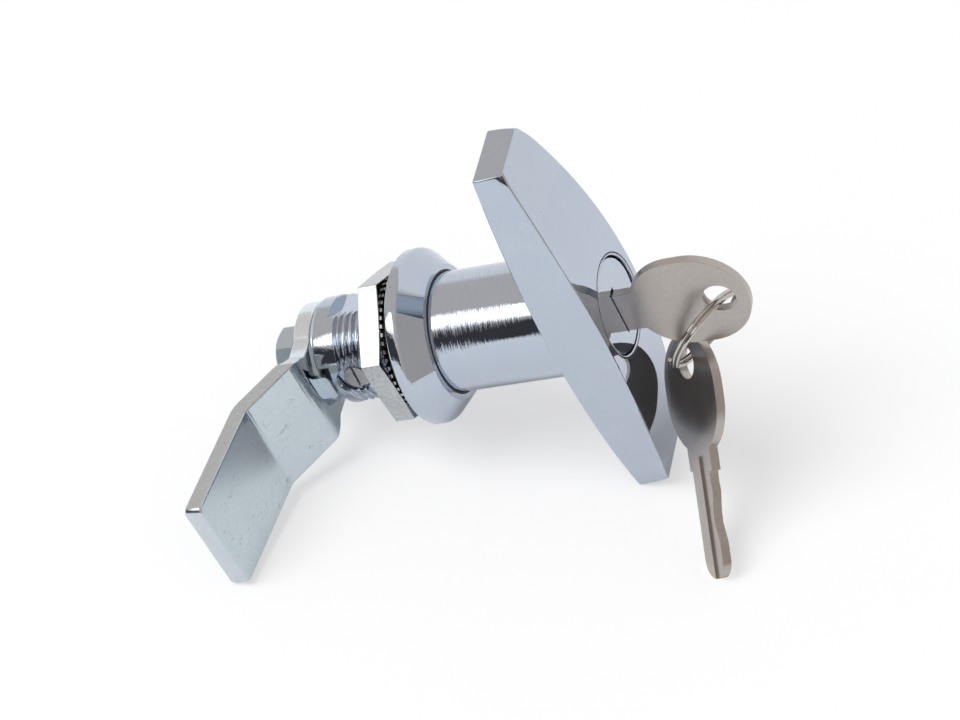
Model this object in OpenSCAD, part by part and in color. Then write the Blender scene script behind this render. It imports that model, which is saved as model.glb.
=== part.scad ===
// T-handle compression lock for a toolbox lid: handle, threaded body, cam, key cylinder and two keys.
// Millimetres. The lock's axis runs along Y, the handle faces -Y and the bar stands along Z.
// The origin is the centre of the flange's back face, which seats on the panel.

/* [T handle] */
// Length of the bar, end to end
bar_len = 86; // [76:1:100]
// Width of the bar at its middle
bar_mid_w = 25; // [24.4:0.1:28]
// Width of the bar at its cut ends
bar_end_w = 14.4; // [11:0.2:18]
// Thickness of the bar at its middle
bar_mid_t = 11.7; // [11:0.1:14]
// Thickness of the bar at its cut ends
bar_end_t = 6.4; // [5:0.1:9]
// Distance from the panel seat to the bar's flat back
bar_back = 31; // [28:0.5:33]
// Diameter of the round boss between bar and flange
boss_d = 24.3; // [23.8:0.1:24.6]

/* [Body] */
// Diameter of the flange
flange_d = 35.5; // [34.5:0.1:40]
// Height of the flange from the panel seat to its lip
flange_h = 6.7; // [6.5:0.1:7]
// Height of the flange's straight rim
rim_h = 1.7; // [1.6:0.1:2.4]
// Outside diameter of the thread
thread_d = 22; // [21.6:0.1:22.4]
// Pitch of the thread
thread_pitch = 1.5; // [1:0.25:2]
// Length of the barrel behind the panel seat
barrel_len = 20.1; // [19:0.1:22]
// Length of the plain ring at the barrel's end
end_ring_len = 4.9; // [4.4:0.1:5.4]
// Depth of the two flats across the thread
flat_depth = 1.5; // [1.2:0.1:1.7]

/* [Nut and washer] */
// Width of the nut across its flats
nut_af = 28.6; // [27:0.2:30]
// Thickness of the nut
nut_t = 4.7; // [4:0.1:5]
// Open grip between flange and washer
grip_gap = 2.25; // [2.05:0.05:2.3]
// Thickness of the toothed washer
washer_t = 0.6; // [0.5:0.1:0.9]
// Number of teeth on the washer
washer_teeth = 52; // [30:1:60]

/* [Cam] */
// Reach of the cam from the lock's axis
cam_reach = 51; // [44:1:60]
// Width of the cam's strip
cam_w = 22; // [20:0.5:24]
// Thickness of the cam's strip
cam_t = 3.8; // [3.2:0.1:4]
// Sideways step of the cam
cam_step = 7.8; // [5:0.2:9]
// Where the step begins, from the lock's axis
cam_step_at = 13.8; // [13.4:0.1:16]
// Length of the step along the cam
cam_step_len = 10.4; // [8:0.2:12]
// Lean of the cam's outer leg in degrees
cam_lean = 6.5; // [0:0.5:8]
// Radius of the rounded hub
hub_r = 10.4; // [9.8:0.1:10.9]
// Half width of the cam's waist, between hub and step
waist = 8.8; // [8.4:0.1:9.6]
// Width of the stop lug
lug_w = 5.8; // [5:0.2:7]
// Thickness of the stop washer
stop_t = 0.5; // [0.4:0.1:0.8]

/* [Key cylinder] */
// Diameter of the hole in the bar's face
face_hole_d = 19.8; // [19:0.1:20.4]
// Depth of the cap below the bar's crown
cap_recess = 0.45; // [0.4:0.05:0.8]
// Diameter of the plug behind its head
plug_d = 13.9; // [13.5:0.1:14]
// Travel of the locking bolt
bolt_travel = 1.8; // [1.4:0.1:1.9]
// Number of wafers
wafer_count = 5; // [3:1:5]

/* [Keys] */
// Half width of the bow
bow_r = 10.7; // [9.5:0.1:10.9]
// Half length of the bow
bow_half = 12.05; // [11.6:0.05:12.3]
// Diameter of the hole in the bow
key_hole_d = 6.6; // [6.4:0.1:6.8]
// Thickness of the key
key_t = 1.9; // [1.6:0.1:2]
// Width of the blade
blade_w = 7.6; // [6.8:0.1:7.8]
// Width of the neck
neck_w = 9.6; // [9:0.1:10]
// Distance the key lies below the lock's axis
key_drop = 1.4; // [1:0.1:1.5]
// Wire diameter of the split ring
ring_wire = 0.85; // [0.8:0.05:1.1]

/* [Clearances] */
// Radial clearance of a turning fit
run_clear = 0.05; // [0.03:0.01:0.08]
// Gap between loose round faces
loose_clear = 0.3; // [0.25:0.01:0.35]
// Gap between sliding flat faces
flat_clear = 0.1; // [0.05:0.01:0.12]

/* [Hidden] */
$fn = 96;
e = 0.01;
big = 80;

// Handle
bar_front = bar_back + bar_mid_t;
plan_sag = (bar_mid_w - bar_end_w) / 2;
plan_r = (pow(bar_len / 2, 2) + pow(plan_sag, 2)) / (2 * plan_sag);
arch_sag = bar_mid_t - bar_end_t;
arch_r = (pow(bar_len / 2, 2) + pow(arch_sag, 2)) / (2 * arch_sag);
boss_r = boss_d / 2;

// Body
thread_r = thread_d / 2;
thread_h = 0.55 * thread_pitch;
floor_y = 2.2;
pocket_r = boss_r + loose_clear;
flange_r = flange_d / 2;
edge_r = 1.5;
seal_w = 0.95;
seal_in = boss_r + run_clear;
seal_out = boss_r + 0.35;
lip_r = seal_out + 1.2;
bore_r = 8;
shaft_r = bore_r - run_clear;
nut_y = grip_gap + washer_t;
nut_turn = -33;
nut_edge = 0.3;
flat_turn = 20;
flat_run = 1.3;
thread_from = grip_gap;
ring_from = barrel_len - end_ring_len;

// Locking bolt: flat plate that slides across the boss's rear end
head_t = 1.4;
plate_t = 1.4;
plate_w = 8;
head_y = -floor_y - head_t;
plate_y = head_y - plate_t;
plate_r = boss_r - 0.25;
boss_end = head_y;
notch_r = plate_r + bolt_travel + loose_clear;
crank = bolt_travel / sqrt(2);
pin_r = 1.2;
yoke_clear = 0.12;

// Spindle and cam end
square_w = 10;
stop_y = barrel_len + flat_clear;
cam_y = stop_y + stop_t;
cam_back = cam_y + cam_t;
spindle_end = cam_back - 0.4;
split_t = 1.6;
split_r = 6.2;
lug_gap = 1.8;
lug_t = 1;
lug_out = thread_r - 0.3;
lug_round = 0.8;
cut_from = ring_from + 2;
lug_from = cut_from + 1;
bolt_seat = cam_back + split_t;
bolt_r = 3;
bolt_af = 11;
bolt_head = 5.2;
bolt_turn = 1;
bolt_grip = 12;
tip_round = 1.5;
bend_r = 3.6;
screw_y = ring_from - 2.4;
screw_turn = 5;
screw_r = 2.5;
screw_slot = 0.5;
screw_sink = 0.75;
groove_r = 6.5;
groove_w = 4;
fix_off = 9.7;
fix_r = 1;
fix_head_r = 1.55;
fix_depth = 1.1;
fix_end = head_y - 6;
dog_r = 1.5;

// Key cylinder
cap_y = -bar_front + cap_recess;
cap_t = 0.95;
cap_r = face_hole_d / 2 - loose_clear;
cap_wall = 0.55;
head_front = cap_y + cap_t + 0.05;
plug_head_r = cap_r - cap_wall - 0.05;
head_back = head_front + 3.35;
face_floor = head_back + flat_clear;
plug_r = plug_d / 2;
plug_bore_r = plug_r + run_clear;
tail_r = 3.3;
tail_bore_r = tail_r + loose_clear;
wafer_pitch = 3.4;
wafer_t = 1;
wafer_half = 2.6;
arm_end = 5.2;
arm_low = 0.3;
arm_t = 1;
spring_x = 4.1;
spring_z = -1.65;
wafer_from = head_back + 0.7;
retain_t = 1;

// Keys
bow_off = bow_half - bow_r;
shoulder = 15.6;
shoulder_gap = 0.15;
bow_y = head_front - shoulder - shoulder_gap;
hole_off = 6.1;
tip_len = 37.1;
blade_groove_w = 2.2;
blade_groove_t = 0.45;
groove_lead = 3;
ring_r = 9.32;

// Inner end of the key cylinder, behind the key's tip
slot_end = bow_y + tip_len + 1.1;
retain_y = slot_end + 0.7;
plug_end = slot_end + 2.7;
bore_end = plug_end + 0.6;

// Poses of the loose ring and the spare key, hung from the bow as they lie beside the handle
bow_at = [0, bow_y, -key_drop];
ring_hang = [0.389, 0.33, -8.688];
ring_rot = [56.86, 4.84, 141.76];
spare_hang = [0.882, 6.92, -17.299];
spare_rot = [41.6, 46.91, 179.13];

chrome = [0.80, 0.82, 0.86];
zinc = [0.72, 0.76, 0.79];
nickel = [0.68, 0.66, 0.63];
brass = [0.80, 0.66, 0.34];
black = [0.06, 0.06, 0.06];
steel = [0.62, 0.63, 0.65];

// Cylinder along Y from y0 to y1
module ycyl(y0, y1, r) {
    translate([0, y0, 0])
    rotate([-90, 0, 0])
        cylinder(h = y1 - y0, r = r);
}

// Block between two corners
module box(a, b) {
    translate(a)
        cube(b - a);
}

// Profile in (radius, y) turned about Y
module yturn() {
    rotate([-90, 0, 0])
        rotate_extrude()
            children();
}

// Round wire wound as a coil about Z
module coil(r, wire_r, pitch, turns, per_turn, sides) {
    n = turns * per_turn;
    pts = [for (i = [0 : n], j = [0 : sides - 1])
        let (t = 360 * i / per_turn, p = 360 * j / sides, q = r + wire_r * cos(p))
        [q * cos(t), q * sin(t), pitch * (i / per_turn - turns / 2) + wire_r * sin(p)]];
    side = [for (i = [0 : n - 1], j = [0 : sides - 1], half = [0, 1])
        let (a = i * sides + j, b = i * sides + (j + 1) % sides)
        half == 0 ? [a, b, b + sides] : [a, b + sides, a + sides]];
    cap_a = [[for (j = [0 : sides - 1]) sides - 1 - j]];
    cap_b = [[for (j = [0 : sides - 1]) n * sides + j]];
    polyhedron(pts, concat(side, cap_a, cap_b), convexity = 10);
}

// Hexagon along Y from y0 to y1, its corners turned off by c0 and c1 at the two ends
module hexagon(y0, y1, across, turn, c0, c1) {
    corner_r = across / sqrt(3);
    face_r = across / 2 - 0.2;
    out_r = corner_r + 0.5;
    k = (out_r - face_r) / (corner_r - face_r);
    intersection() {
        translate([0, y0, 0])
        rotate([-90, 0, 0])
        rotate(turn)
            cylinder(h = y1 - y0, r = corner_r, $fn = 6);
        yturn()
            polygon([[0, y0], [face_r, y0], [out_r, y0 + c0 * k], [out_r, y1 - c1 * k],
                [face_r, y1], [0, y1]]);
    }
}

// Outline of the body, as (radius, y): coned flange, thread crests and roots, plain end ring
module body_profile() {
    n = floor((ring_from - thread_from - 0.4) / thread_pitch);
    lip = [lip_r, -flange_h];
    edge = [flange_r - edge_r, -rim_h];
    reach = norm(edge - lip);
    slope = atan2(edge[1] - lip[1], edge[0] - lip[0]) - asin(edge_r / reach);
    foot = lip + sqrt(reach * reach - edge_r * edge_r) * [cos(slope), sin(slope)];
    difference() {
        union() {
            polygon([[0, -flange_h], lip, foot, edge, [flange_r, -rim_h], [flange_r, 0], [0, 0]]);
            translate(edge)
                circle(r = edge_r);
            square([thread_r, barrel_len]);
        }
        for (i = [0 : n - 1])
            translate([thread_r, thread_from + 0.4 + thread_pitch * (i + 0.5)])
                polygon([[e, -thread_pitch * 0.47], [-thread_h, -thread_pitch * 0.07],
                    [-thread_h, thread_pitch * 0.07], [e, thread_pitch * 0.47]]);
        translate([thread_r, barrel_len])
            rotate(45)
                square(0.9, center = true);
    }
}

module flange_body() {
    color(chrome)
    difference() {
        yturn() body_profile();
        ycyl(-flange_h - 1, -floor_y, pocket_r);
        ycyl(-flange_h - 1, -flange_h + seal_w, seal_out);
        ycyl(-floor_y - 1, barrel_len + 1, bore_r);
        // Notches that take the locking bolt at both ends of the handle's turn
        for (a = [0, -90])
            rotate([0, a, 0])
                intersection() {
                    box([0, plate_y - flat_clear, -plate_w / 2 - 0.2],
                        [notch_r + 1, -floor_y + e, plate_w / 2 + 0.2]);
                    ycyl(plate_y - 1, 0, notch_r);
                }
        // Flats across the thread
        for (s = [0, 180])
            rotate([0, s + flat_turn, 0])
                box([-big, thread_from + 1, thread_r - flat_depth], [big, ring_from + flat_run, big]);
        // Cut-out in the end ring, in which the stop lug swings
        box([-big, cut_from, -big], [0, barrel_len + 1, lug_w / 2 + lug_gap]);
        box([-big, cut_from, -big], [lug_w / 2 + lug_gap, barrel_len + 1, 0]);
        // Seat of the retaining screw
        translate([0, screw_y, 0])
        rotate([0, screw_turn - 90, 0]) {
            cylinder(h = big, r = screw_r + run_clear);
            translate([0, 0, thread_r - 1.9])
                cylinder(h = big, r = screw_r + screw_sink);
            translate([0, 0, thread_r - 1])
                cylinder(h = 2, r1 = screw_r + screw_sink, r2 = screw_r + screw_sink + 1);
        }
    }
}

module boss_seal() {
    color(black)
    yturn()
        difference() {
            translate([seal_in, -flange_h - 0.1])
                square([seal_out - seal_in, seal_w]);
            translate([seal_out, -flange_h - 0.1])
                rotate(45)
                    square(0.3, center = true);
        }
}

module lock_washer() {
    out_r = nut_af / 2 - 0.1;
    notch = 0.45 * 2 * PI * out_r / washer_teeth;
    color([0.16, 0.16, 0.17])
    difference() {
        ycyl(grip_gap, grip_gap + washer_t, out_r);
        ycyl(0, nut_y + 1, thread_r + run_clear);
        for (i = [0 : washer_teeth - 1])
            rotate([0, i * 360 / washer_teeth, 0])
                box([out_r - 1.5, 0, -notch / 2], [out_r + 1, nut_y + 1, notch / 2]);
    }
}

module hex_nut() {
    nut_end = nut_y + nut_t;
    color(zinc)
    difference() {
        hexagon(nut_y, nut_end, nut_af, nut_turn, nut_edge, nut_edge);
        ycyl(0, nut_end + 1, thread_r + run_clear);
        yturn()
            polygon([[0, nut_end - 0.7], [thread_r, nut_end - 0.7],
                [thread_r + 0.8, nut_end + 0.1], [0, nut_end + 0.1]]);
    }
}

module retaining_screw() {
    color(steel)
    translate([0, screw_y, 0])
    rotate([0, screw_turn - 90, 0])
    difference() {
        union() {
            translate([0, 0, bore_r + 0.2])
                cylinder(h = thread_r - 1.2 - bore_r - 0.2, r = screw_r);
            translate([0, 0, groove_r + loose_clear])
                cylinder(h = 2, r = dog_r);
        }
        translate([-5, -screw_slot / 2, thread_r - 2])
            cube([10, screw_slot, 5]);
    }
}

// Bar of the handle: lens in front view, arched front, flat back
module bar() {
    intersection() {
        translate([0, -bar_back, 0])
        rotate([90, 0, 0])
        linear_extrude(bar_mid_t)
        intersection() {
            translate([plan_r - bar_mid_w / 2, 0])
                circle(r = plan_r);
            translate([bar_mid_w / 2 - plan_r, 0])
                circle(r = plan_r);
            square([big, bar_len], center = true);
        }
        translate([-big, arch_r - bar_front, 0])
        rotate([0, 90, 0])
            cylinder(h = 2 * big, r = arch_r);
    }
}

module t_handle() {
    color(chrome)
    difference() {
        union() {
            bar();
            ycyl(-bar_back - 3, boss_end, boss_r);
        }
        ycyl(-bar_front - 1, face_floor, face_hole_d / 2);
        ycyl(face_floor - 1, bore_end, plug_bore_r);
        ycyl(retain_y - 0.2, retain_y + retain_t + 0.2, plug_r + 1.25);
        ycyl(bore_end - 1, boss_end + 1, tail_bore_r);
        // Channel of the locking bolt
        box([-6.4, plate_y - flat_clear, -plate_w / 2 - flat_clear],
            [boss_r + 1, boss_end + 1, plate_w / 2 + flat_clear]);
        for (s = [-1, 1])
            translate([0, 0, s * fix_off])
                ycyl(fix_end - 0.4, boss_end + 1, fix_r + run_clear);
    }
}

module spindle() {
    color(steel)
    difference() {
        union() {
            ycyl(head_y, -floor_y, boss_r - 0.55);
            ycyl(-floor_y - e, barrel_len, shaft_r);
            box([-square_w / 2, barrel_len - e, -square_w / 2], [square_w / 2, spindle_end, square_w / 2]);
        }
        yturn()
            translate([groove_r, screw_y - groove_w / 2])
                square([5, groove_w]);
        ycyl(spindle_end - bolt_grip - 2, spindle_end + 1, bolt_r + run_clear);
        for (s = [-1, 1])
            translate([0, 0, s * fix_off]) {
                ycyl(head_y - 1, -floor_y - e, fix_r + run_clear);
                ycyl(-floor_y - fix_depth, -floor_y + e, fix_head_r + run_clear);
            }
    }
}

module spindle_screws() {
    color(steel)
    for (s = [-1, 1])
        translate([0, 0, s * fix_off])
        difference() {
            union() {
                ycyl(fix_end, -floor_y - fix_depth + e, fix_r);
                ycyl(-floor_y - fix_depth, -floor_y - 0.1, fix_head_r);
            }
            box([-0.25, -floor_y - 0.5, -3], [0.25, 0, 3]);
        }
}

// Flat tab with two round corners, in the cut-out of the end ring
module lug() {
    in_z = lug_w / 2 - lug_round;
    box([-lug_out, lug_from + lug_round, -lug_w / 2], [lug_t - lug_out, cam_y, lug_w / 2]);
    box([-lug_out, lug_from, -in_z], [lug_t - lug_out, cam_y, in_z]);
    for (s = [-1, 1])
        translate([-lug_out, lug_from + lug_round, s * in_z])
        rotate([0, 90, 0])
            cylinder(h = lug_t, r = lug_round);
    box([-lug_out, stop_y, -lug_w / 2], [-square_w / 2 - 1, cam_y, lug_w / 2]);
}

module stop_washer() {
    color(zinc)
    difference() {
        union() {
            ycyl(stop_y, cam_y, hub_r - 0.3);
            lug();
        }
        box([-square_w / 2 - run_clear, 0, -square_w / 2 - run_clear],
            [square_w / 2 + run_clear, big, square_w / 2 + run_clear]);
    }
}

// Points of a bent strip's side: path of the front face, with round bends
function bend(c, r, a0, a1) = [for (i = [0 : 8])
    let (t = a0 + (a1 - a0) * i / 8)
    c + r * [cos(t), sin(t)]];

module cam_profile() {
    slope = atan2(cam_step, cam_step_len);
    r = bend_r;
    k = r + cam_t;
    x0 = -cam_step_at;
    x1 = x0 - cam_step_len;
    t0 = tan(slope / 2);
    t1 = tan((slope - cam_lean) / 2);
    c0 = [x0 + k * t0, cam_y + k];
    c1 = [x1 - k * t1 * cos(cam_lean), cam_y + cam_step + k * t1 * sin(cam_lean)]
        + [sin(cam_lean), cos(cam_lean)] * -r;
    end = cam_reach + 1;
    tip = [-end, cam_y + cam_step + (end + x1) * tan(cam_lean)];
    polygon(concat(
        [[hub_r + 1, cam_back], [hub_r + 1, cam_y]],
        bend(c0, k, -90, -90 - slope),
        bend(c1, r, 90 - slope, 90 - cam_lean),
        [tip, tip + cam_t * [sin(cam_lean), cos(cam_lean)] + [-cam_t * sin(cam_lean), 0]],
        bend(c1, k, 90 - cam_lean, 90 - slope),
        bend(c0, r, -90 - slope, -90)));
}

// Cam seen along the lock's axis: round hub, waist, and a leg with round corners
module cam_outline() {
    half = cam_w / 2;
    end = tip_round - cam_reach;
    side = [[0, waist], [4 - cam_step_at, waist], [-cam_step_at, half], [end, half]];
    other = [for (i = [3 : -1 : 0]) [side[i][0], -side[i][1]]];
    circle(r = hub_r);
    polygon(concat(side, [[end - tip_round, half - tip_round], [end - tip_round, tip_round - half]], other));
    for (s = [-1, 1])
        translate([end, s * (half - tip_round)])
            circle(r = tip_round);
}

module latch_cam() {
    color(zinc)
    difference() {
        intersection() {
            linear_extrude(big, center = true) cam_profile();
            rotate([90, 0, 0])
            linear_extrude(2 * big, center = true)
                cam_outline();
        }
        box([-square_w / 2 - run_clear, 0, -square_w / 2 - run_clear],
            [square_w / 2 + run_clear, big, square_w / 2 + run_clear]);
    }
}

module spring_washer() {
    color(steel)
    difference() {
        ycyl(cam_back, bolt_seat, split_r);
        ycyl(0, big, bolt_r + 0.2);
        translate([0, cam_back, 0])
        rotate([0, -150, 0])
        rotate([0, 0, 20])
            translate([0, -5, -0.5])
                cube([20, 10, 1]);
    }
}

module cam_bolt() {
    color(zinc)
    union() {
        ycyl(spindle_end - bolt_grip, bolt_seat + e, bolt_r);
        hexagon(bolt_seat, bolt_seat + bolt_head, bolt_af, bolt_turn, 0.5, 0.6);
    }
}

module wafer_places() {
    for (i = [0 : wafer_count - 1])
        translate([0, wafer_from + i * wafer_pitch, 0])
            children();
}

module lock_plug() {
    color(brass)
    difference() {
        union() {
            ycyl(head_front, head_back, plug_head_r);
            ycyl(head_back - e, plug_end, plug_r);
        }
        // Keyway
        box([-key_t / 2 - 0.2, head_front - 1, -key_drop - blade_w / 2 - 0.25],
            [key_t / 2 + 0.2, slot_end, -key_drop + blade_w / 2 + 0.25]);
        wafer_places() {
            box([-wafer_half - 0.2, -flat_clear, -big], [wafer_half + 0.2, wafer_t + flat_clear, big]);
            box([wafer_half, -flat_clear, spring_z - 1.95], [arm_end + 0.2, wafer_t + flat_clear, 4.1]);
        }
        box([-2.1, retain_y - flat_clear, 2.6], [2.1, retain_y + retain_t + flat_clear, big]);
        // Seat of the tail driver
        box([-1.6, plug_end - 1, -1.6], [1.6, plug_end + 1, 1.6]);
    }
}

module plug_cap() {
    color(chrome)
    difference() {
        union() {
            ycyl(cap_y + 0.25, head_back - 0.5, cap_r);
            translate([0, cap_y, 0])
            rotate([-90, 0, 0])
                cylinder(h = 0.25 + e, r1 = cap_r - 0.25, r2 = cap_r);
        }
        ycyl(cap_y + cap_t, head_back + 1, cap_r - cap_wall);
        box([-key_t / 2 - 0.3, cap_y - 1, -key_drop - neck_w / 2 - 0.25],
            [key_t / 2 + 0.3, cap_y + cap_t + 1, neck_w / 2 - key_drop + 0.5]);
    }
}

module wafers() {
    color(brass)
    wafer_places()
    difference() {
        intersection() {
            union() {
                box([-wafer_half, 0, -big], [wafer_half, wafer_t, big]);
                box([wafer_half - 0.1, 0, arm_low], [arm_end, wafer_t, arm_low + arm_t]);
            }
            ycyl(-1, wafer_t + 1, plug_r - 0.15);
        }
        box([-key_t / 2 - 0.35, -1, -key_drop - blade_w / 2 - 0.35],
            [key_t / 2 + 0.35, wafer_t + 1, -key_drop + blade_w / 2 + 0.35]);
    }
}

module wafer_springs() {
    color(steel)
    wafer_places()
        translate([spring_x, wafer_t / 2, spring_z])
            coil(0.36, 0.11, 0.72, 5, 10, 5);
}

module plug_retainer() {
    color(brass)
    intersection() {
        box([-2, retain_y, 2.8], [2, retain_y + retain_t, big]);
        ycyl(retain_y - 1, retain_y + retain_t + 1, plug_r + 0.95);
    }
}

module tail_driver() {
    color(steel)
    union() {
        box([-1.5, plug_end - 0.9, -1.5], [1.5, plug_end + e, 1.5]);
        ycyl(plug_end, plate_y - 0.3, tail_r);
        translate([-crank / sqrt(2), 0, crank / sqrt(2)])
            ycyl(plate_y - 0.3 - e, head_y - 0.15, pin_r);
    }
}

module lock_bolt() {
    x = -crank / sqrt(2);
    z = crank / sqrt(2);
    color(steel)
    difference() {
        intersection() {
            box([-6, plate_y, -plate_w / 2], [boss_r, head_y, plate_w / 2]);
            ycyl(plate_y - 1, 0, plate_r);
        }
        box([x - pin_r - yoke_clear, plate_y - 1, z - pin_r - 0.4],
            [x + pin_r + yoke_clear, 0, crank + pin_r + 0.4]);
    }
}

// A flat key in the XY plane: bow centre at the origin, blade towards +X
module key_shape() {
    tip = tip_len;
    h = blade_w / 2;
    difference() {
        translate([0, 0, -key_t / 2])
        linear_extrude(key_t)
        difference() {
            union() {
                for (s = [-1, 1])
                    translate([s * bow_off, 0])
                        circle(r = bow_r);
                square([2 * bow_off, 2 * bow_r], center = true);
                translate([0, -neck_w / 2])
                    square([shoulder, neck_w]);
                translate([0, -h])
                    square([tip - h, blade_w]);
                translate([tip - h, 0])
                    circle(r = h);
            }
            translate([-hole_off, 0])
                circle(d = key_hole_d);
            // Cut edge of the blade
            translate([shoulder, h])
                polygon([[0, 1], [0.4, -0.2], [2.2, -0.3], [4.2, -0.05], [6.3, -0.6], [8.4, -1],
                    [10.4, -1.1], [12.2, -0.6], [13.9, -0.1], [16, 0.1], [16, 1]]);
        }
        // A groove along each side, which runs out on the neck on one of them
        translate([shoulder, -3.1, -key_t / 2 - blade_groove_t])
            cube([tip, blade_groove_w, 2 * blade_groove_t]);
        translate([shoulder - groove_lead, -0.3, key_t / 2 - blade_groove_t])
            cube([tip, blade_groove_w, 2 * blade_groove_t]);
    }
}

module key_in_lock() {
    color(nickel)
    translate(bow_at)
    rotate([0, 90, 0])
    rotate([0, 0, 90])
        key_shape();
}

module key_ring() {
    color(steel)
    translate(bow_at + ring_hang)
    rotate(ring_rot)
        coil(ring_r, ring_wire / 2, ring_wire + 0.06, 2, 40, 8);
}

module spare_key() {
    color(nickel)
    translate(bow_at + spare_hang)
    rotate(spare_rot)
    translate([hole_off, 0, 0])
        key_shape();
}

flange_body();
boss_seal();
lock_washer();
hex_nut();
retaining_screw();
t_handle();
spindle();
spindle_screws();
stop_washer();
latch_cam();
spring_washer();
cam_bolt();
lock_plug();
plug_cap();
wafers();
wafer_springs();
plug_retainer();
tail_driver();
lock_bolt();
key_in_lock();
key_ring();
spare_key();
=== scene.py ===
import math

import bmesh
import bpy
from mathutils import Euler, Matrix, Vector


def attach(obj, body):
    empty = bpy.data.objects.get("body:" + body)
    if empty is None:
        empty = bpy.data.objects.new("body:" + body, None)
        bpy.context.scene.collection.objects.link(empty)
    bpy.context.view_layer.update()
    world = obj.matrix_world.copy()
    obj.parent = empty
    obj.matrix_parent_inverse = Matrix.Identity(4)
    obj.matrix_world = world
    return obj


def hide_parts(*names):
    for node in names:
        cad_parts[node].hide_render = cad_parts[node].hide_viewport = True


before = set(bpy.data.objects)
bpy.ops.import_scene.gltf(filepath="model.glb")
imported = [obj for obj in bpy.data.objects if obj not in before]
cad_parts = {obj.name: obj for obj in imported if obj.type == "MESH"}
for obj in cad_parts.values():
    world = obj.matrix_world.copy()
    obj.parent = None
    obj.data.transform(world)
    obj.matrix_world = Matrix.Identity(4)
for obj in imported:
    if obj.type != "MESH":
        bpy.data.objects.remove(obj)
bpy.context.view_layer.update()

MM = 0.001
TAU = 2 * math.pi

# Sizes in millimetres, most of them the part's own, with a few angles and counts
BAR_LEN = 86.0
BAR_MID_W = 25.0
BAR_END_W = 14.4
BAR_MID_T = 11.7
BAR_END_T = 6.4
BAR_BACK = 31.0
BAR_EDGE = 0.35
BAR_EASE = 5.0
BAR_EASE_IN = 0.75
BOSS_R = 12.15
BOSS_END = -3.6
BOSS_EDGE = 0.3
BOSS_INTO_BAR = 0.3
BOLT_SLOT_X = -6.4
BOLT_SLOT_Y = -5.1
BOLT_SLOT_HALF = 4.1
FACE_HOLE_R = 9.9
FACE_FLOOR = -37.8
FACE_LIP = 0.35
# Groove round the lip of the face hole: distance outside the lip, and depth
FACE_GROOVE = ((0.36, 0.0), (0.26, 0.16), (0.16, 0.16), (0.06, 0.0))
PLUG_BORE_R = 7.0
TAIL_BORE_R = 3.6
BORE_END = -15.5

FLANGE_R = 17.75
FLANGE_H = 6.7
RIM_H = 1.7
EDGE_R = 1.5
LIP_R = 13.7
LIP_EDGE = 0.3
POCKET_R = 12.45
SEAL_R = 12.5
SEAL_W = 0.95
FLOOR_Y = -2.2
NOTCH_R = 14.0
NOTCH_HALF = 4.2
NOTCH_FROM = -5.1
BORE_R = 8.0
THREAD_R = 11.0
THREAD_PITCH = 1.5
THREAD_FROM = 2.25
THREAD_DEPTH = 0.8
FLAT_R = 9.5
FLAT_AT = math.radians(70)
FLAT_END = 16.5
RING_FROM = 15.2
BARREL_LEN = 20.1
CUT_FROM = 17.2
LUG_SIDE = 4.7
SCREW_Y = 12.8
SCREW_TURN = 5
SCREW_R = 2.5
SCREW_SINK = 0.75
SEAT_FLOOR = 1.9
SEAT_STEPS = 64

WASHER_Y = 2.25
WASHER_T = 0.6
WASHER_OUT = 14.2
WASHER_TEETH = 52
WASHER_PLAY = 0.06
TOOTH_LEN = 1.3
TOOTH_SHARE = 0.25

# Radius within which the cam's edge faces take the lighter zinc: painted light on the rim of the hub
HUB_PAINTED_LIGHT_R = 12.5

RING_R = 9.32
RING_WIRE = 0.85
RING_TURNS = 2
RING_GAP = 0.06
RING_POS = (0.389, -56.67, -10.088)
RING_ROT = (56.86, 4.84, 141.76)

# Camera fitted to the photograph, in metres, and the ground that the lock lies on
CAMERA_AT = (-0.431667, -0.280958, 0.392153)
CAMERA_RIGHT = (0.20006976, -0.8969378, -0.39430277)
CAMERA_UP = (0.71950345, -0.13866517, 0.68050478)
CAMERA_BACK = (-0.66504652, -0.41985063, 0.61760713)
CAMERA_LENS = 121.243
GROUND_UP = Vector((0.049, -0.409, 0.911)).normalized()
GROUND_LEVEL = -0.02685
GROUND_R = 0.6
# Share of plain white that the camera sees over the ground's shading, and how deep a piece below it clears it
GROUND_VEIL = 0.52
GROUND_CLEAR = 0.09

# Colours of the room that the metal mirrors, and the lamps: azimuth, elevation and distance from the lock
WHITE = (1.0, 1.0, 1.0)
ROOM_LEFT = (0.74, 0.68, 0.63)
ROOM_RIGHT = (0.585, 0.535, 0.495)
ROOM_DARK = (0.06, 0.06, 0.065)
SKY_FILL = (0.58, 0.58, 0.60)
LOCK_MIDDLE = Vector((0, -0.02, -0.005))
SOFTBOX_AT = (-112, 34, 0.7)
SOFTBOX_SIZE = (0.34, 0.22)
SOFTBOX_POWER = 0.42
FILL_AT = (-116, 53, 1.0)
FILL_SPREAD = 35
FILL_POWER = 2.45


# Mesh helpers

def make_object(name, mesh):
    obj = bpy.data.objects.new(name, mesh)
    bpy.context.scene.collection.objects.link(obj)
    return obj


def mesh_from(name, points, faces):
    """A mesh from points in millimetres."""
    mesh = bpy.data.meshes.new(name)
    mesh.from_pydata([Vector(p) * MM for p in points], [], faces)
    mesh.update()
    return mesh


def soften(obj, angle=35.0):
    """Smooth shading with sharp edges where faces meet at more than the angle."""
    work = bmesh.new()
    work.from_mesh(obj.data)
    bmesh.ops.recalc_face_normals(work, faces=work.faces)
    for face in work.faces:
        face.smooth = True
    for edge in work.edges:
        if len(edge.link_faces) == 2:
            edge.smooth = edge.calc_face_angle(0.0) < math.radians(angle)
    work.to_mesh(obj.data)
    work.free()
    weigh = obj.modifiers.new("even_normals", "WEIGHTED_NORMAL")
    weigh.keep_sharp = True
    weigh.weight = 90
    return obj


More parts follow.
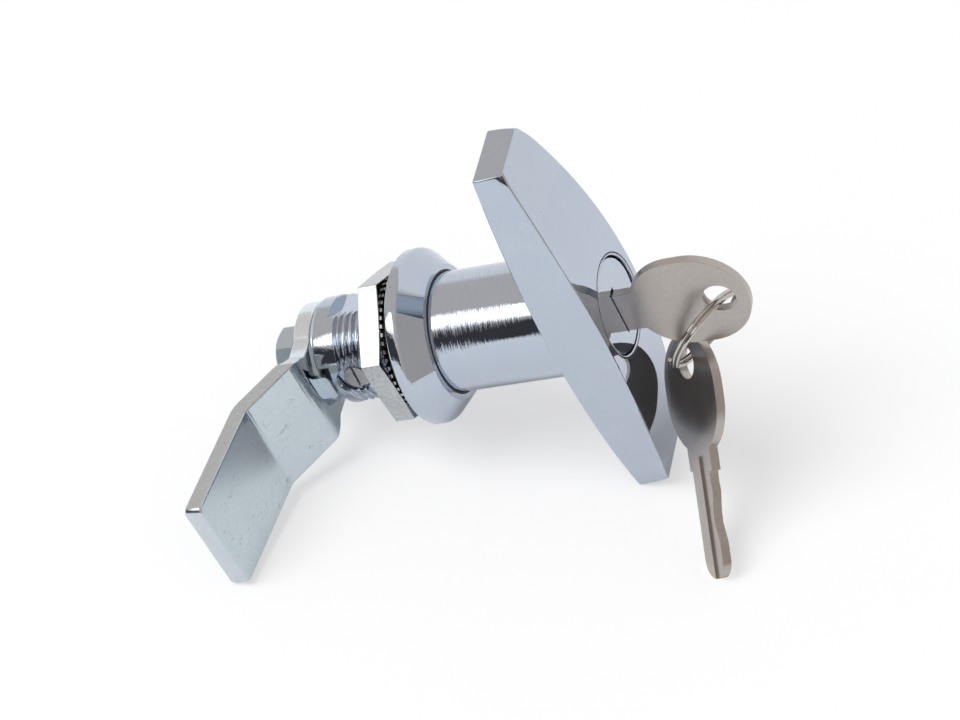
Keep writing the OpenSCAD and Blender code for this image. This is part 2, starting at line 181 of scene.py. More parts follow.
def cut(obj, *cutters):
    """Takes the cutters out of obj and removes them."""
    for cutter in cutters:
        tool = obj.modifiers.new("cut", "BOOLEAN")
        tool.operation = "DIFFERENCE"
        tool.solver = "EXACT"
        tool.object = cutter
    graph = bpy.context.evaluated_depsgraph_get()
    result = bpy.data.meshes.new_from_object(obj.evaluated_get(graph))
    obj.modifiers.clear()
    obj.data = result
    for cutter in cutters:
        bpy.data.objects.remove(cutter)
    return obj


def block(low, high):
    """A box between two corners in millimetres, used to cut."""
    work = bmesh.new()
    bmesh.ops.create_cube(work, size=1.0)
    for v in work.verts:
        for k in range(3):
            v.co[k] = (low[k] if v.co[k] < 0 else high[k]) * MM
    mesh = bpy.data.meshes.new("block")
    work.to_mesh(mesh)
    work.free()
    return make_object("block", mesh)


def turned(profile, steps=128, radius=None):
    """Points and faces of a closed (radius, y) profile turned about the lock's axis.
    radius(r, y, angle) may change the radius of a point on the way round."""
    points = []
    for i in range(steps):
        a = TAU * i / steps
        for r, y in profile:
            q = radius(r, y, a) if radius else r
            points.append((q * math.cos(a), y, q * math.sin(a)))
    n = len(profile)
    faces = []
    for i in range(steps):
        for j in range(n):
            a, b = i * n + j, i * n + (j + 1) % n
            c, d = (i + 1) % steps * n + (j + 1) % n, (i + 1) % steps * n + j
            faces.append((a, b, c, d))
    return points, faces


def arc(centre, radius, start, end, steps):
    """Points of an arc from start to end, in degrees."""
    angles = [math.radians(start + (end - start) * k / steps) for k in range(steps + 1)]
    return [(centre[0] + radius * math.cos(a), centre[1] + radius * math.sin(a)) for a in angles]


def dressed(node, body, bevel, segments=2, angle=35.0):
    """A piece that stands for a node: the same solid with its edges rounded."""
    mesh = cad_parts[node].data.copy()
    work = bmesh.new()
    work.from_mesh(mesh)
    bmesh.ops.remove_doubles(work, verts=work.verts, dist=2e-6)
    bmesh.ops.dissolve_limit(work, angle_limit=math.radians(1.0), verts=work.verts, edges=work.edges)
    limit = math.radians(angle)
    sharp = [e for e in work.edges if len(e.link_faces) == 2 and e.calc_face_angle(0.0) > limit]
    bmesh.ops.bevel(work, geom=sharp, offset=bevel * MM, segments=segments, profile=0.5,
                    affect="EDGES", clamp_overlap=True)
    fresh = bpy.data.meshes.new(node + "_dressed")
    work.to_mesh(fresh)
    work.free()
    bpy.data.meshes.remove(mesh)
    obj = soften(make_object(node + "_dressed", fresh), angle)
    return settle(obj, body, node)


def settle(obj, body, *nodes):
    """Lets the piece move with a body and stand for the nodes."""
    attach(obj, body)
    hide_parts(*nodes)
    return obj


# Materials

def put(tree, kind, values=None, **props):
    """Adds a shader node. values maps an input to a number, a colour or another node's output."""
    node = tree.nodes.new(kind)
    for key, value in props.items():
        setattr(node, key, value)
    for key, value in (values or {}).items():
        if isinstance(value, bpy.types.NodeSocket):
            tree.links.new(value, node.inputs[key])
        else:
            node.inputs[key].default_value = value
    return node


def ramp(tree, factor, stops):
    """A colour ramp; stops are (position, grey or colour)."""
    node = put(tree, "ShaderNodeValToRGB", {"Fac": factor})
    points = node.color_ramp.elements
    while len(points) < len(stops):
        points.new(0.5)
    for point, (place, colour) in zip(points, stops):
        point.position = place
        point.color = (*colour, 1) if isinstance(colour, tuple) else (colour, colour, colour, 1)
    return node.outputs["Color"]


def millimetres(tree, stretch=(1, 1, 1)):
    """The piece's own coordinates in millimetres, stretched along the axes."""
    place = put(tree, "ShaderNodeTexCoord")
    scale = put(tree, "ShaderNodeVectorMath", {0: place.outputs["Object"], 1: [s / MM for s in stretch]},
                operation="MULTIPLY")
    return scale.outputs["Vector"]


def noise(tree, where, scale, detail=3.0, rough=0.55, warp=0.0):
    node = put(tree, "ShaderNodeTexNoise", {"Vector": where, "Scale": scale, "Detail": detail,
                                            "Roughness": rough, "Distortion": warp})
    return node.outputs["Fac"]


def mix_colour(tree, factor, a, b, mode="MIX"):
    node = put(tree, "ShaderNodeMix", data_type="RGBA", blend_type=mode)
    for index, value in ((0, factor), (6, a), (7, b)):
        if isinstance(value, bpy.types.NodeSocket):
            tree.links.new(value, node.inputs[index])
        else:
            node.inputs[index].default_value = value if index == 0 else (*value, 1)
    return node.outputs[2]


def material(name):
    made = bpy.data.materials.new(name)
    made.use_nodes = True
    tree = made.node_tree
    return made, tree, tree.nodes["Principled BSDF"]


def metal(name, light, dark, rough, grain, bump, specks=0.0, stretch=(1, 1, 1), grain_scale=1.5,
          scratch=0.0, patchy=False):
    """Plated metal: tone drifts between light and dark, roughness varies, with fine grain, specks and
    scratches. rough is (low, high); bump is the height of the grain in millimetres, in patches if patchy."""
    made, tree, shader = material(name)
    plain = millimetres(tree)
    drift = noise(tree, plain, 0.12, 4.0)
    fine = noise(tree, millimetres(tree, stretch), grain_scale, 3.0, 0.6)
    blend = put(tree, "ShaderNodeMath", {0: drift, 1: fine}, operation="MULTIPLY_ADD")
    blend.inputs[1].default_value = 1 - grain
    tree.links.new(put(tree, "ShaderNodeMath", {0: fine, 1: grain}, operation="MULTIPLY").outputs[0],
                   blend.inputs[2])
    colour = mix_colour(tree, ramp(tree, blend.outputs[0], [(0.3, 0.0), (0.7, 1.0)]), dark, light)
    if specks:
        cells = put(tree, "ShaderNodeTexVoronoi", {"Vector": plain, "Scale": 0.28})
        spots = ramp(tree, cells.outputs["Distance"], [(0.03, 1.0), (0.07, 0.0)])
        picked = ramp(tree, noise(tree, plain, 0.33, 1.0), [(0.56, 0.0), (0.62, specks)])
        spots = put(tree, "ShaderNodeMath", {0: spots, 1: picked}, operation="MULTIPLY").outputs[0]
        colour = mix_colour(tree, spots, colour, tuple(c * 0.25 for c in dark))
    if scratch:
        bend = noise(tree, millimetres(tree, (0.35, 0.35, 0.8)), 0.5, 2.0, 0.5, 1.4)
        lines = ramp(tree, bend, [(0.488, 0.0), (0.5, scratch), (0.512, 0.0)])
        gate = ramp(tree, noise(tree, plain, 0.24, 2.0), [(0.52, 0.0), (0.58, 1.0)])
        lines = put(tree, "ShaderNodeMath", {0: lines, 1: gate}, operation="MULTIPLY").outputs[0]
        colour = mix_colour(tree, lines, colour, tuple(c * 0.45 for c in dark))
    tree.links.new(colour, shader.inputs["Base Color"])
    span = put(tree, "ShaderNodeMapRange", {"Value": blend.outputs[0], "From Min": 0.3, "From Max": 0.7,
                                            "To Min": rough[0], "To Max": rough[1]})
    tree.links.new(span.outputs["Result"], shader.inputs["Roughness"])
    shader.inputs["Metallic"].default_value = 1.0
    depth = ramp(tree, noise(tree, plain, 0.13, 2.0), [(0.35, 0.15), (0.6, 1.0)]) if patchy else 1.0
    relief = put(tree, "ShaderNodeBump", {"Height": fine, "Strength": depth, "Distance": bump * MM})
    tree.links.new(relief.outputs["Normal"], shader.inputs["Normal"])
    return made


def rubber_material():
    made, tree, shader = material("rubber")
    grain = noise(tree, millimetres(tree), 3.0, 4.0)
    colour = mix_colour(tree, grain, (0.012, 0.012, 0.013), (0.03, 0.03, 0.032))
    tree.links.new(colour, shader.inputs["Base Color"])
    shader.inputs["Roughness"].default_value = 0.6
    relief = put(tree, "ShaderNodeBump", {"Height": grain, "Strength": 0.5, "Distance": 0.02 * MM})
    tree.links.new(relief.outputs["Normal"], shader.inputs["Normal"])
    return made


CHROME_LIGHT = (0.53, 0.58, 0.655)
CHROME_DARK = (0.47, 0.52, 0.60)
chrome = metal("chrome", CHROME_LIGHT, CHROME_DARK, (0.015, 0.05), 0.1, 0.0005, specks=0.8)
boss_chrome = metal("boss_chrome", CHROME_LIGHT, CHROME_DARK, (0.02, 0.06), 0.1, 0.09,
                    stretch=(0.16, 1.6, 0.16), grain_scale=1.0, patchy=True)
barrel_chrome = metal("barrel_chrome", CHROME_LIGHT, CHROME_DARK, (0.03, 0.10), 0.2, 0.03, specks=0.5,
                      patchy=True)
zinc = metal("zinc", (0.60, 0.675, 0.71), (0.51, 0.58, 0.62), (0.10, 0.22), 0.25, 0.004, specks=0.8,
             scratch=0.8)
zinc_bright = metal("zinc_bright", (0.53, 0.555, 0.57), (0.37, 0.39, 0.405), (0.10, 0.22), 0.6, 0.006,
                    specks=0.4, scratch=0.4)
zinc_edge = metal("zinc_edge", (0.63, 0.685, 0.73), (0.55, 0.60, 0.64), (0.16, 0.28), 0.2, 0.008,
                  grain_scale=1.4, stretch=(1.0, 0.55, 1.0))
zinc_bolt = metal("zinc_bolt", (0.54, 0.625, 0.69), (0.47, 0.545, 0.605), (0.32, 0.45), 0.25, 0.004)
# A lighter, rougher copy of zinc for the stop lug and the rim of the cam's hub: painted light where these
# faces are lit
zinc_painted_light = metal("zinc_painted_light", (0.80, 0.86, 0.91), (0.70, 0.765, 0.82), (0.18, 0.30), 0.25, 0.004)
nickel = metal("nickel", (0.51, 0.472, 0.44), (0.425, 0.392, 0.365), (0.28, 0.40), 0.25, 0.003, specks=0.9)
ring_steel = metal("ring_steel", (0.60, 0.565, 0.53), (0.46, 0.435, 0.41), (0.08, 0.18), 0.3, 0.004)
steel = metal("steel", (0.52, 0.52, 0.53), (0.38, 0.38, 0.39), (0.14, 0.26), 0.3, 0.004)
brass = metal("brass", (0.62, 0.47, 0.20), (0.50, 0.37, 0.15), (0.20, 0.34), 0.3, 0.004)
black_steel = metal("black_steel", (0.05, 0.05, 0.053), (0.02, 0.02, 0.021), (0.35, 0.5), 0.4, 0.004)
# Pale steel for the outer ends of the washer's teeth: a painted highlight
steel_painted_glint = metal("steel_painted_glint", (0.62, 0.62, 0.61), (0.40, 0.40, 0.39), (0.3, 0.45), 0.4, 0.004)
# Dark steel for the bar's bore wall and the groove round the face hole: painted shade, as these recesses lie
# in shadow
bore_painted_shade = metal("bore_painted_shade", (0.14, 0.14, 0.135), (0.08, 0.08, 0.077), (0.25, 0.4), 0.3, 0.004)
rubber = rubber_material()


def paint(obj, *materials):
    obj.data.materials.clear()
    for one in materials:
        obj.data.materials.append(one)


# T handle: a lens-shaped bar with an arched front, on a round boss

def curve_sag(z, sag):
    """How far an arc of the bar falls back at height z, for a fall of sag at its ends."""
    half = BAR_LEN / 2
    radius = (half * half + sag * sag) / (2 * sag)
    return radius - math.sqrt(radius * radius - z * z)


def rounding(u, radius):
    """Inset of a rounded end at the distance u from it."""
    if u >= radius:
        return 0.0
    return radius - math.sqrt(max(radius * radius - (radius - u) ** 2, 0.0))


def bar_front(z):
    return -(BAR_BACK + BAR_MID_T - curve_sag(z, BAR_MID_T - BAR_END_T))


def bar_section(z, across, down, bend):
    """Points (x, y) round the bar at height z, starting at the front's left edge."""
    u = BAR_LEN / 2 - abs(z)
    half = BAR_MID_W / 2 - curve_sag(z, (BAR_MID_W - BAR_END_W) / 2)
    front = bar_front(z) + rounding(u, BAR_EDGE)
    back = -BAR_BACK - rounding(u, BAR_EDGE)

    def half_at(y):
        share = min(max((back - y) / (back - front), 0.0), 1.0)
        ease = max(1 - u / BAR_EASE, 0.0)
        return half - BAR_EASE_IN * (share * ease) ** 2 - rounding(u, BAR_EDGE)

    e = BAR_EDGE
    hf, hb = half_at(front), half_at(back)
    side = [back - e + (front - back + 2 * e) * k / down for k in range(1, down)]
    right = [(half_at(y), y) for y in reversed(side)]
    points = [(-hf + e + 2 * (hf - e) * k / across, front) for k in range(across + 1)]
    points += arc((hf - e, front + e), e, -90, 0, bend)[1:]
    points += right
    points += arc((hb - e, back - e), e, 0, 90, bend)
    points += [(hb - e - 2 * (hb - e) * k / across, back) for k in range(1, across + 1)]
    points += arc((-hb + e, back - e), e, 90, 180, bend)[1:]
    points += [(-x, y) for x, y in reversed(right)]
    points += arc((-hf + e, front + e), e, 180, 270, bend)[:-1]
    return points


def bar_mesh():
    """The bar as one closed shell, with the key cylinder's stepped bore through it."""
    across, down, bend = 16, 10, 4
    patch = 13.0
    steps = 30
    half = BAR_LEN / 2
    ends = {round(half - BAR_EDGE * (1 - math.cos(math.pi / 2 * k / 8)), 5) for k in range(9)}
    ends |= {round(half - BAR_EASE * k / 12, 5) for k in range(1, 12)}
    outer = {round(patch + (half - BAR_EASE - patch) * k / 24, 5) for k in range(25)} | ends
    middle = {round(patch * (2 * k / steps - 1), 5) for k in range(steps + 1)}
    heights = sorted({-z for z in outer} | outer | middle)
    back_from = across + bend + (down - 1) + bend + 1
    points, faces, rings = [], [], []
    for z in heights:
        hole = abs(z) < patch - 1e-6
        ring = []
        for k, (x, y) in enumerate(bar_section(z, across, down, bend)):
            inside = 0 < k < across or back_from < k < back_from + across
            if hole and inside:
                ring.append(None)
            else:
                ring.append(len(points))
                points.append((x, y, z))
        rings.append(ring)
    n = len(rings[0])
    for low, high in zip(rings, rings[1:]):
        for k in range(n):
            quad = (low[k], low[(k + 1) % n], high[(k + 1) % n], high[k])
            if None not in quad:
                faces.append(quad)
    faces.append(tuple(reversed(rings[0])))
    faces.append(tuple(rings[-1]))
    inner = [r for z, r in zip(heights, rings) if abs(z) <= patch + 1e-6]

    def border(first):
        """The ring of vertices round the hole's patch, whose row starts at that vertex of a section."""
        last = first + across
        loop = [inner[0][k] for k in range(first, last)]
        loop += [r[last] for r in inner[:-1]]
        loop += [inner[-1][k] for k in range(last, first, -1)]
        loop += [r[first] for r in reversed(inner[1:])]
        return loop

    def collar(loop, profile, surface):
        """Rows from a border to a hole: profile holds (radius, depth) pairs, the first on the surface."""
        rows = [loop]
        blend_rows = 6
        for k in range(1, blend_rows + 1):
            row = []
            for v in loop:
                x, _, z = points[v]
                far = math.hypot(x, z)
                share = k / blend_rows
                q = far + (profile[0][0] - far) * share
                row.append(len(points))
                points.append((x / far * q, surface(z / far * q), z / far * q))
            rows.append(row)
        for r, depth in profile[1:]:
            row = []
            for v in loop:
                x, _, z = points[v]
                far = math.hypot(x, z)
                row.append(len(points))
                points.append((x / far * r, surface(z / far * r) + depth, z / far * r))
            rows.append(row)
        for a, b in zip(rows, rows[1:]):
            m = len(loop)
            for k in range(m):
                faces.append((a[k], a[(k + 1) % m], b[(k + 1) % m], b[k]))
        return rows[-1]

    bead = FACE_HOLE_R + FACE_LIP
    rim = [(bead + out, depth) for out, depth in FACE_GROOVE]
    rim += [(FACE_HOLE_R + FACE_LIP * (1 - math.sin(t)), FACE_LIP * (1 - math.cos(t)))
            for t in (math.pi / 2 * k / 6 for k in range(7))]
    front_loop = collar(border(0), rim, bar_front)
    back_loop = collar(border(back_from), [(PLUG_BORE_R, 0.0)], lambda z: -BAR_BACK)
    m = len(front_loop)
    steps_down = [(FACE_HOLE_R, FACE_FLOOR), (PLUG_BORE_R, FACE_FLOOR)]
    previous = front_loop
    for r, y in steps_down:
        row = []
        for v in front_loop:
            x, _, z = points[v]
            far = math.hypot(x, z)
            row.append(len(points))
            points.append((x / far * r, y, z / far * r))
        for k in range(m):
            faces.append((previous[k], previous[(k + 1) % m], row[(k + 1) % m], row[k]))
        previous = row
    order = match_loops(points, previous, back_loop)
    for k in range(m):
        faces.append((previous[k], previous[(k + 1) % m], order[(k + 1) % m], order[k]))
    return mesh_from("t_handle_bar", points, faces)


def match_loops(points, first, second):
    """second turned and, if need be, reversed so that its vertices stand behind those of first."""
    def spot(v):
        return Vector((points[v][0], points[v][2]))
    m = len(first)
    best = None
    for run in (list(second), list(reversed(second))):
        for shift in range(m):
            gap = sum((spot(first[k]) - spot(run[(k + shift) % m])).length for k in (0, m // 3, 2 * m // 3))
            if best is None or gap < best[0]:
                best = (gap, [run[(k + shift) % m] for k in range(m)])
    return best[1]


def make_handle():
    bar = soften(make_object("t_handle_bar", bar_mesh()), 50)
    paint(bar, chrome, bore_painted_shade)
    # The bore wall and the groove round the face hole take the dark steel: painted shade in these recesses
    for face in bar.data.polygons:
        away = math.hypot(face.center.x, face.center.z) / MM - FACE_HOLE_R
        wall = away < 0.02 and abs(face.normal.y) < 0.5
        outside = away - FACE_LIP
        groove = FACE_GROOVE[-1][0] < outside < FACE_GROOVE[0][0] and face.center.y < FACE_FLOOR * MM
        face.material_index = 1 if wall or groove else 0
    settle(bar, "handle", "t_handle")
    top = -BAR_BACK - BOSS_INTO_BAR
    profile = [(PLUG_BORE_R, top), (BOSS_R, top)]
    profile += [(BOSS_R, -BAR_BACK + (BOSS_END - BOSS_EDGE + BAR_BACK) * k / 12) for k in range(1, 13)]
    profile += [(BOSS_R - BOSS_EDGE, BOSS_END), (TAIL_BORE_R, BOSS_END), (TAIL_BORE_R, BORE_END),
                (PLUG_BORE_R, BORE_END)]
    points, faces = turned(profile, 160)
    boss = make_object("t_handle_boss", mesh_from("t_handle_boss", points, faces))
    cut(boss, block((BOLT_SLOT_X, BOLT_SLOT_Y, -BOLT_SLOT_HALF), (BOSS_R + 2, BOSS_END + 1, BOLT_SLOT_HALF)))
    paint(soften(boss), boss_chrome)
    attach(boss, "handle")


# Body: coned flange, threaded barrel with flats, end ring cut open for the stop lug

def thread_radius(r, y, a):
    """Radius of the barrel at depth y and angle a: a screw thread cut by two flats."""
    if r < THREAD_R - 0.01 or y < THREAD_FROM + 0.3 or y > FLAT_END + 0.01:
        return r
    phase = (y / THREAD_PITCH - a / TAU) % 1.0
    groove = min(max((0.5 - abs(phase - 0.5) - 0.06) / 0.3, 0.0), 1.0)
    fade = min(max((y - THREAD_FROM - 0.3) / 0.8, 0.0), 1.0) * min(max((RING_FROM - y) / 0.5, 0.0), 1.0)
    q = THREAD_R - THREAD_DEPTH * groove * fade
    if THREAD_FROM + 1 < y < FLAT_END:
        q = min(q, FLAT_R / max(abs(math.cos(a - FLAT_AT)), 1e-6))
    return q


def bolt_notch(turn):
    """A notch in the flange's pocket that takes the locking bolt, turned about the axis and used to cut."""
    half = math.degrees(math.asin(NOTCH_HALF / NOTCH_R))
    outline = [(0.0, -NOTCH_HALF)] + arc((0, 0), NOTCH_R, -half, half, 8) + [(0.0, NOTCH_HALF)]
    n = len(outline)
    points = [(x, y, z) for y in (NOTCH_FROM, FLOOR_Y + 0.01) for x, z in outline]
    faces = [(k, (k + 1) % n, n + (k + 1) % n, n + k) for k in range(n)]
    faces += [tuple(reversed(range(n))), tuple(range(n, 2 * n))]
    mesh = mesh_from("notch", points, faces)
    mesh.transform(Matrix.Rotation(math.radians(turn), 4, "Y"))
    work = bmesh.new()
    work.from_mesh(mesh)
    bmesh.ops.recalc_face_normals(work, faces=work.faces)
    work.to_mesh(mesh)
    work.free()
    return make_object("notch", mesh)


def screw_seat():
    """The stepped sink of the retaining screw, used to cut."""
    work = bmesh.new()
    wide = SCREW_R + SCREW_SINK
    floor = THREAD_R - SEAT_FLOOR
    bore = [(SCREW_R + 0.05, BORE_R - 2), (SCREW_R + 0.05, floor), (wide, floor), (wide, THREAD_R - 1),
            (wide + 1, THREAD_R + 1)]
    angles = [TAU * k / SEAT_STEPS for k in range(SEAT_STEPS)]
    rings = []
    for r, depth in bore:
        rings.append([work.verts.new(Vector((r * math.cos(a), r * math.sin(a), depth)) * MM) for a in angles])
    for low, high in zip(rings, rings[1:]):
        for k in range(SEAT_STEPS):
            work.faces.new((low[k], low[(k + 1) % SEAT_STEPS], high[(k + 1) % SEAT_STEPS], high[k]))
    work.faces.new(list(reversed(rings[0])))
    work.faces.new(rings[-1])
    turn = Matrix.Rotation(math.radians(SCREW_TURN - 90), 4, "Y")
    bmesh.ops.transform(work, matrix=Matrix.Translation((0, SCREW_Y * MM, 0)) @ turn, verts=work.verts)
    mesh = bpy.data.meshes.new("seat")
    work.to_mesh(mesh)
    work.free()
    return make_object("seat", mesh)


def make_body():
    edge = (FLANGE_R - EDGE_R, -RIM_H)
    run, rise = edge[0] - LIP_R, FLANGE_H - RIM_H
    slope = math.degrees(math.atan2(rise, run) - math.asin(EDGE_R / math.hypot(run, rise)))
    corner = (LIP_R - LIP_EDGE * math.tan(math.radians(slope / 2)), LIP_EDGE - FLANGE_H)
    cone = arc(corner, LIP_EDGE, -90, slope - 90, 4)
    cone += arc(edge, EDGE_R, slope - 90, 0, 10)
    thread = [THREAD_FROM + (RING_FROM - THREAD_FROM) * k / 120 for k in range(121)]
    profile = [(SEAL_R, -FLANGE_H + SEAL_W), (SEAL_R, -FLANGE_H + 0.1), (SEAL_R + 0.1, -FLANGE_H)]
    profile += cone
    profile += [(FLANGE_R, -0.35), (FLANGE_R - 0.1, -0.1), (FLANGE_R - 0.35, 0.0), (THREAD_R, 0.0)]
    profile += [(THREAD_R, y) for y in thread]
    profile += [(THREAD_R, FLAT_END - 0.01), (THREAD_R, FLAT_END + 0.02), (THREAD_R, BARREL_LEN - 0.6),
                (THREAD_R - 0.15, BARREL_LEN - 0.2), (THREAD_R - 0.5, BARREL_LEN),
                (BORE_R + 0.3, BARREL_LEN), (BORE_R, BARREL_LEN - 0.3), (BORE_R, FLOOR_Y),
                (POCKET_R, FLOOR_Y), (POCKET_R, -FLANGE_H + SEAL_W)]
    points, faces = turned(profile, 240, thread_radius)
    body = make_object("flange_and_barrel", mesh_from("flange_and_barrel", points, faces))
    far = 30.0
    cut(body,
        block((-far, CUT_FROM, -far), (0, BARREL_LEN + 1, LUG_SIDE)),
        block((-far, CUT_FROM, -far), (LUG_SIDE, BARREL_LEN + 1, 0.001)),
        bolt_notch(0), bolt_notch(-90),
        screw_seat())
    paint(soften(body, 40), chrome, barrel_chrome)
    for face in body.data.polygons:
        rim = math.hypot(face.center.x, face.center.z) > (FLANGE_R - 0.7) * MM
        face.material_index = 1 if rim or face.center.y > 0.0005 else 0
    settle(body, "body", "flange_body")


def make_lock_washer():
    """Flat ring with square teeth, black but for the outer ends of the teeth, which are painted pale as a
    painted highlight.
    """
    inner, root = THREAD_R + WASHER_PLAY, WASHER_OUT - TOOTH_LEN
    low, high = WASHER_Y, WASHER_Y + WASHER_T
    points, faces = turned([(inner, low), (root, low), (root, high), (inner, high)], 3 * WASHER_TEETH)
    half = TAU * WASHER_OUT / WASHER_TEETH * TOOTH_SHARE
    rows = ((root - 0.4, 1.0, 0.0), (WASHER_OUT - 0.12, 1.0, 0.0), (WASHER_OUT, 0.85, 0.08))
    for i in range(WASHER_TEETH):
        a = TAU * i / WASHER_TEETH
        out = Vector((math.cos(a), 0, math.sin(a)))
        along = Vector((-math.sin(a), 0, math.cos(a)))
        start = len(points)
        for r, narrow, shrink in rows:
            for s, y in ((-1, low + shrink), (1, low + shrink), (1, high - shrink), (-1, high - shrink)):
                p = out * r + along * (half * narrow * s)
                points.append((p.x, y, p.z))
        for row in range(2):
            for k in range(4):
                b = start + 4 * row
                faces.append((b + k, b + (k + 1) % 4, b + 4 + (k + 1) % 4, b + 4 + k))
        faces.append((start + 3, start + 2, start + 1, start))
        faces.append((start + 8, start + 9, start + 10, start + 11))
    washer = soften(make_object("toothed_washer", mesh_from("toothed_washer", points, faces)), 30)
    paint(washer, black_steel, steel_painted_glint)
    # The outer ends of the teeth take the pale steel: a painted highlight
    for face in washer.data.polygons:
        away = math.hypot(face.center.x, face.center.z)
        face.material_index = 1 if away > (WASHER_OUT - 0.03) * MM else 0
    settle(washer, "body", "lock_washer")


def make_key_ring():
    """Split ring: a round wire wound twice."""
    curve = bpy.data.curves.new("split_ring", "CURVE")
    curve.dimensions = "3D"
    curve.bevel_depth = RING_WIRE / 2 * MM
    curve.bevel_resolution = 5
    curve.use_fill_caps = True
    per_turn = 64
    count = RING_TURNS * per_turn + 1
    line = curve.splines.new("POLY")
    line.points.add(count - 1)
    turn = Euler([math.radians(a) for a in RING_ROT], "XYZ").to_matrix()
    for i in range(count):
        a = TAU * i / per_turn
        rise = (RING_WIRE + RING_GAP) * (i / per_turn - RING_TURNS / 2)
        p = turn @ Vector((RING_R * math.cos(a), RING_R * math.sin(a), rise)) + Vector(RING_POS)
        line.points[i].co = (*(p * MM), 1)
    line.use_smooth = True
    ring = make_object("split_ring", curve)
    ring.data.materials.append(ring_steel)
    settle(ring, "ring", "key_ring")


make_handle()
make_body()
make_lock_washer()
make_key_ring()

# Pieces whose solids are right: the same shapes with their edges rounded
for node, body, bevel, finish, slot in (
        ("hex_nut", "body", 0.12, zinc_bright, "zinc"),
        ("retaining_screw", "body", 0.12, steel, "steel"),
        ("boss_seal", "body", 0.05, rubber, "rubber"),
        ("stop_washer", "handle", 0.12, zinc_painted_light, "zinc"),
        ("latch_cam", "handle", 0.45, zinc, "zinc"),
        ("spring_washer", "handle", 0.15, steel, "steel"),
        ("cam_bolt", "handle", 0.4, zinc_bolt, "zinc"),
        ("plug_cap", "plug", 0.1, chrome, "chrome"),
        ("key_in_lock", "key", 0.18, nickel, "nickel"),
        ("spare_key", "spare", 0.18, nickel, "nickel")):
    piece = dressed(node, body, bevel, 3)
    paint(piece, finish)
    if node == "latch_cam":
        piece.data.materials.append(zinc_edge)
        piece.data.materials.append(zinc_painted_light)
        # Edge faces of the hub take the lighter zinc as painted light; the other edge faces take the edge
        # zinc
        for face in piece.data.polygons:
            hub = math.hypot(face.center.x, face.center.z) < HUB_PAINTED_LIGHT_R * MM
            face.material_index = (2 if hub else 1) if abs(face.normal.y) < 0.5 else 0

# Pieces inside the lock
for node, finish in (("spindle", steel), ("spindle_screws", steel), ("lock_plug", brass), ("wafers", brass),
                     ("wafer_springs", steel), ("plug_retainer", brass), ("tail_driver", steel),
                     ("lock_bolt", steel)):
    paint(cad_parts[node], finish)


# Studio: a pale ground that shows only from above, two lamps at the left and a room for the metal to mirror

def make_ground():
    work = bmesh.new()
    bmesh.ops.create_circle(work, cap_ends=True, segments=128, radius=GROUND_R)
    mesh = bpy.data.meshes.new("ground")
    work.to_mesh(mesh)
    work.free()
    ground = make_object("ground", mesh)
    ground.rotation_mode = "QUATERNION"
    ground.rotation_quaternion = GROUND_UP.to_track_quat("Z", "Y")
    ground.location = GROUND_UP * GROUND_LEVEL
    made, tree, shader = material("ground")
    tree.nodes.remove(shader)
    out = tree.nodes["Material Output"]
    speckle = noise(tree, millimetres(tree), 0.02, 2.0)
    tone = mix_colour(tree, speckle, (0.80, 0.80, 0.80), (0.82, 0.82, 0.82))
    matt = put(tree, "ShaderNodeBsdfDiffuse", {"Color": tone})
    glow = put(tree, "ShaderNodeEmission", {"Color": (*WHITE, 1), "Strength": 1.0})
    camera = put(tree, "ShaderNodeLightPath").outputs["Is Camera Ray"]
    veil = put(tree, "ShaderNodeMath", {0: camera, 1: GROUND_VEIL}, operation="MULTIPLY")
    paper = put(tree, "ShaderNodeMixShader", {0: veil.outputs[0], 1: matt.outputs[0], 2: glow.outputs[0]})
    clear = put(tree, "ShaderNodeBsdfTransparent")
    under = put(tree, "ShaderNodeAmbientOcclusion", {"Distance": GROUND_CLEAR}, inside=True, samples=12)
    below = put(tree, "ShaderNodeMath", {0: under.outputs["AO"], 1: 0.985}, operation="LESS_THAN")
    back = put(tree, "ShaderNodeNewGeometry")
    hide = put(tree, "ShaderNodeMath", {0: below.outputs[0], 1: back.outputs["Backfacing"]},
               operation="MAXIMUM")
    pick = put(tree, "ShaderNodeMixShader", {0: hide.outputs[0], 1: paper.outputs[0], 2: clear.outputs[0]})
    tree.links.new(pick.outputs[0], out.inputs["Surface"])
    paint(ground, made)


def ground_axes():
    """Level directions straight ahead of the camera and to its right."""
    back = Vector(CAMERA_BACK)
    ahead = (-back + GROUND_UP * back.dot(GROUND_UP)).normalized()
    return ahead, ahead.cross(GROUND_UP)


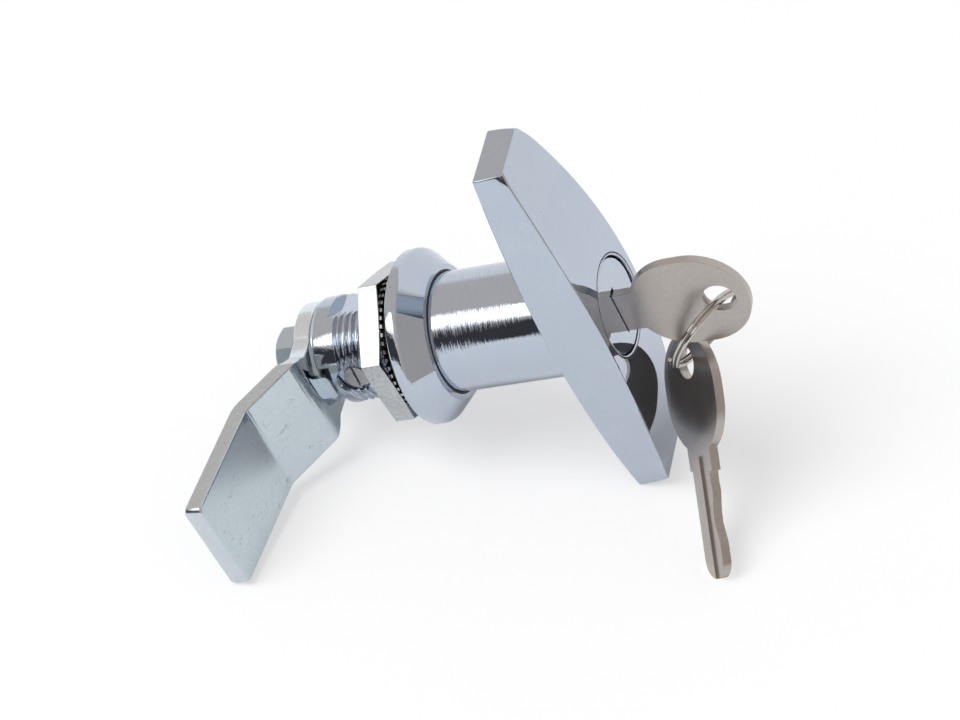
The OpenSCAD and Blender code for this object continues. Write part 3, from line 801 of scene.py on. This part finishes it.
def make_sky():
    """White behind the object and even grey on matt surfaces. Polished faces mirror a room: a white wall at
    the far right, a white patch and a dark side at the left, and warm grey elsewhere."""
    world = bpy.data.worlds.new("studio")
    bpy.context.scene.world = world
    world.use_nodes = True
    tree = world.node_tree
    ahead, right = ground_axes()
    where = put(tree, "ShaderNodeTexCoord").outputs["Generated"]

    def along(axis):
        node = put(tree, "ShaderNodeVectorMath", {0: where, 1: axis}, operation="DOT_PRODUCT")
        return node.outputs["Value"]

    def smooth(value, start, end):
        node = put(tree, "ShaderNodeMapRange", {"Value": value, "From Min": start, "From Max": end},
                   interpolation_type="SMOOTHSTEP")
        return node.outputs["Result"]

    def both(a, b):
        return put(tree, "ShaderNodeMath", {0: a, 1: b}, operation="MULTIPLY").outputs[0]

    height, away, side = along(GROUND_UP), along(ahead), along(right)
    toward = put(tree, "ShaderNodeMath", {0: both(away, 0.82), 1: both(side, 0.57)}, operation="ADD")
    wall = smooth(toward.outputs[0], 0.40, 0.52)
    band = both(smooth(height, -0.065, 0.01), smooth(height, 0.43, 0.35))
    dark = both(band, both(smooth(away, 0.3, 0.0), smooth(side, -0.15, -0.4)))
    low = both(smooth(height, 0.01, -0.065), smooth(side, 0.1, -0.3))
    left = both(both(smooth(side, -0.80, -0.88), smooth(away, 0.1, 0.2)), smooth(height, 0.40, 0.33))
    colour = mix_colour(tree, smooth(side, -0.3, 0.5), ROOM_LEFT, ROOM_RIGHT)
    colour = mix_colour(tree, wall, colour, WHITE)
    colour = mix_colour(tree, left, colour, WHITE)
    colour = mix_colour(tree, dark, colour, ROOM_DARK)
    colour = mix_colour(tree, low, colour, WHITE)
    path = put(tree, "ShaderNodeLightPath").outputs
    colour = mix_colour(tree, path["Is Glossy Ray"], SKY_FILL, colour)
    colour = mix_colour(tree, path["Is Camera Ray"], colour, WHITE)
    sky = tree.nodes["Background"]
    tree.links.new(colour, sky.inputs["Color"])
    sky.inputs["Strength"].default_value = 1.0


def direction(azimuth, elevation):
    """Unit vector over the ground, its azimuth measured from straight ahead of the camera to the right."""
    ahead, right = ground_axes()
    a, e = math.radians(azimuth), math.radians(elevation)
    return (ahead * math.cos(a) + right * math.sin(a)) * math.cos(e) + GROUND_UP * math.sin(e)


def aim(obj, azimuth, elevation, distance):
    """Puts a lamp that way from the object and turns it to face the object."""
    way = direction(azimuth, elevation)
    obj.location = LOCK_MIDDLE + way * distance
    obj.rotation_mode = "QUATERNION"
    obj.rotation_quaternion = way.to_track_quat("Z", "Y")


def make_softbox():
    """The lamp that the polished faces mirror."""
    lamp = bpy.data.lights.new("softbox", "AREA")
    lamp.shape = "RECTANGLE"
    lamp.size, lamp.size_y = SOFTBOX_SIZE
    lamp.energy = SOFTBOX_POWER
    obj = make_object("softbox", lamp)
    aim(obj, *SOFTBOX_AT)
    obj.visible_camera = False


def make_fill():
    """A broad even light from the left, which gives the ground its soft shadows."""
    lamp = bpy.data.lights.new("fill", "SUN")
    lamp.angle = math.radians(FILL_SPREAD)
    lamp.energy = FILL_POWER
    obj = make_object("fill", lamp)
    aim(obj, *FILL_AT)
    obj.visible_glossy = False


def make_camera():
    data = bpy.data.cameras.new("camera")
    data.lens = CAMERA_LENS
    data.sensor_width = 36.0
    data.clip_start, data.clip_end = 0.01, 20.0
    camera = make_object("camera", data)
    axes = Matrix((CAMERA_RIGHT, CAMERA_UP, CAMERA_BACK)).transposed().to_4x4()
    camera.matrix_world = Matrix.Translation(CAMERA_AT) @ axes
    bpy.context.scene.camera = camera


make_ground()
make_sky()
make_softbox()
make_fill()
make_camera()
bpy.context.scene.view_settings.view_transform = "Standard"

bpy.context.view_layer.update()
